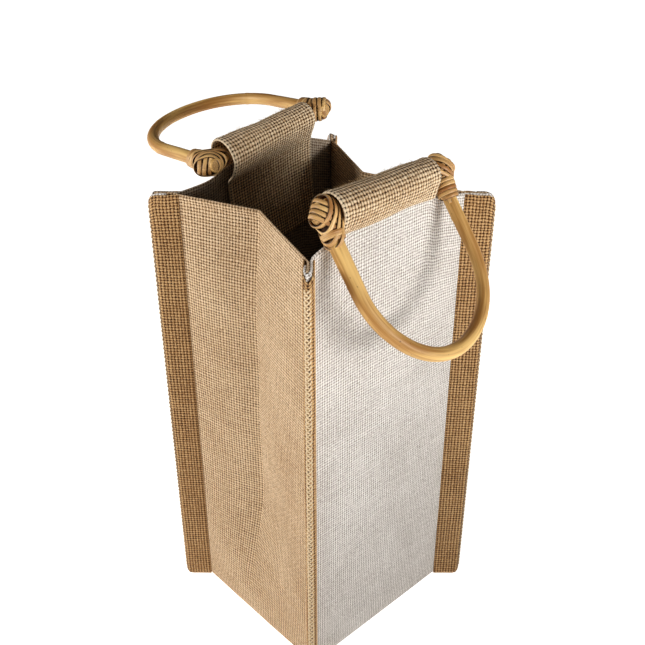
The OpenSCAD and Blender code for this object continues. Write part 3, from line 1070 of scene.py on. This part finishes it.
    # crossing turns below, then the parallel ones on top, then the rings
    under = -outward * 0.62 + front * 0.25 + up * 0.55
    for distance in crossed:
        loop(under, distance * MM, 0.0, 0.1 * MM)
    lean, front_turn = math.radians(lean), math.radians(front_turn)
    over = (outward * math.cos(front_turn) + front * math.sin(front_turn)) * math.sin(lean) \
        + up * math.cos(lean)
    for distance in layers:
        loop(over, distance * MM, 0.62 * MM, 0.12 * MM)
    low_r = arm_r + 0.75 * MM
    coil(ring_top, ring_foot, ring_turns, (low_r + ring_wider, low_r))
    if tailed:  # a strip's end, tucked along the arm under the last turns
        tail = np.linspace(-9 * MM, ring_foot - 2.4 * MM, 14)
        side_way = unit(front * 0.66 - outward * 0.75)
        lay(side_way * (arm_r + 0.25 * MM) - arm_way * tail[:, None],
            np.tile(side_way, (14, 1)), strip_section(1.8 * MM, 0.6 * MM),
            tag=float(rng.integers(40)))
    parts.build(f"{name}_strips", f"{side}_handle", [name], [strips, strip_painted_shadow])


lashing("front", -1, 3.85, 1, 5.0, 60, 24, (-3.9, -1.6, 0.7, 3.0), (-8.6, -11.6, 2.4, 0.45),
        tailed=False)
lashing("front", 1, 3.3, 2, 4.6, 48, 12, (-3.2, -0.8, 1.6, 3.6), (-5.8, -14.4, 4.4, 0.7))
lashing("back", -1, 3.5, 3, 4.7, 40, -8, (-6.2, -3.8, -1.4, 1.0, 3.2), (-8.6, -14.4, 3.3, 0.5),
        top=0.8, crossed=(-4.6, -2.1, 0.4), tailed=False)
lashing("back", 1, 3.3, 4, 4.7, 42, 10, (-6.0, -3.6, -1.2, 1.2, 3.2), (-7.8, -13.8, 3.2, 0.5),
        top=0.8)

# ---- loose fibres


FIBRE_R = 0.055 * MM


def fuzz(name, spots, seed, reach=(1.2, 4.2)):
    """Fine fibres that stand off the cloth. spots holds pairs of a point and its way out."""
    rng = np.random.default_rng(seed)
    parts = Parts()
    for point, out in spots:
        side = unit(np.cross(out, rng.normal(size=3)))
        length = rng.uniform(*reach) * MM
        t = np.linspace(0, 1, 6)[:, None]
        bend = rng.uniform(0.3, 1.2)
        path = point - out * 0.2 * MM + length * (
            out * (0.75 * t - 0.45 * bend * t ** 2) + side * (0.7 * t + 0.3 * bend * t ** 2))
        parts.sweep(path, np.tile(unit(np.cross(side, out)), (6, 1)), disc(FIBRE_R, 4),
                    widths=np.linspace(1, 0.35, 6))
    piece = parts.build(name, "bag", [], [fibres])
    SLOTS[name.split("_")[1]]


def spots_on(surface, rows, count, seed, columns=(0, 0)):
    """Random points of a cloth, and the ways out there. columns cuts off its first and last."""
    outer, normal = surface
    rng = np.random.default_rng(seed)
    r = rng.integers(rows[0], rows[1], count)
    c = rng.integers(columns[0], outer.shape[1] + columns[1], count)
    return list(zip(outer[r, c], normal[r, c]))


fuzz("front_sleeve_fibres", spots_on(front_sleeve_outer, (8, 36), 380, 5, (7, -7)), 5)
fuzz("back_sleeve_fibres", spots_on(back_sleeve_outer, (8, 40), 300, 6, (7, -7)), 6)
top = len(left_outer[0])
for side, surface, seed in (("left", left_outer, 7), ("right", right_outer, 8)):
    fuzz(f"{side}_gusset_fibres", spots_on(surface, (top - 4, top), 110, seed), seed, (0.8, 2.0))

# ---- floor, light and camera


def stage():
    points = [[x, y, -0.2 * MM] for x, y in ((-6, -6), (6, -6), (6, 6), (-6, 6))]
    g = Graph("studio_floor")
    spot = g.noise(g.vector(*g.place()), 3.0, 2.0)
    g.finish(g.mix(spot, (0.86, 0.86, 0.86), (0.88, 0.88, 0.88)), Roughness=0.8)
    g.shader.inputs["Emission Color"].default_value = (1, 1, 1, 1)
    g.shader.inputs["Emission Strength"].default_value = 0.78
    floor = make_mesh("studio_floor", points, [[0, 1, 2, 3]], [g.material])
    new_object("studio_floor", floor)


stage()

world = bpy.data.worlds.new("studio")
world.use_nodes = True
tree = world.node_tree
fill = tree.nodes["Background"]
fill.inputs["Color"].default_value = (1.0, 0.95, 0.88, 1)
fill.inputs["Strength"].default_value = 0.11
# Seen directly, the studio's wall is white, and only its light is dim
seen = tree.nodes.new("ShaderNodeLightPath")
wall = tree.nodes.new("ShaderNodeBackground")
either = tree.nodes.new("ShaderNodeMixShader")
for socket, source in enumerate((seen.outputs["Is Camera Ray"], fill.outputs[0], wall.outputs[0])):
    tree.links.new(source, either.inputs[socket])
tree.links.new(either.outputs[0], tree.nodes["World Output"].inputs[0])


def softbox(name, place, target, wide, tall, power, spread=180):
    """A soft lamp. spread is how far its light fans out, in degrees."""
    light = bpy.data.lights.new(name, "AREA")
    light.shape, light.size, light.size_y, light.energy = "ELLIPSE", wide, tall, power
    light.spread = math.radians(spread)
    lamp = new_object(name, light)
    lamp.location = place
    lamp.rotation_euler = (Vector(target) - Vector(place)).to_track_quat("-Z", "Y").to_euler()


softbox("key", (0.10, -0.92, 0.42), (-0.02, -0.05, 0.30), 0.95, 0.26, 0.73, 45)
softbox("side", (-0.78, 0.46, 0.52), (0, 0, 0.25), 0.35, 0.35, 5.2)

CAMERA_PLACE = (-0.2903, -0.3147, 0.4473)
CAMERA_TURN = math.radians(-42.73)  # about the vertical, 0 looking along +Y
CAMERA_DOWN = math.radians(31.48)
CAMERA_ROLL = math.radians(-0.11)
camera = new_object("camera", bpy.data.cameras.new("camera"))
camera.data.lens, camera.data.sensor_width = 52.5, 36
camera.data.clip_start, camera.data.clip_end = 0.01, 50
camera.location = CAMERA_PLACE
camera.rotation_euler = (Matrix.Rotation(CAMERA_TURN, 4, "Z")
                         @ Matrix.Rotation(math.pi / 2 - CAMERA_DOWN, 4, "X")
                         @ Matrix.Rotation(CAMERA_ROLL, 4, "Z")).to_euler()
scene = bpy.context.scene
scene.camera, scene.world = camera, world
scene.view_settings.view_transform = "Standard"
scene.view_settings.look = "Medium High Contrast"
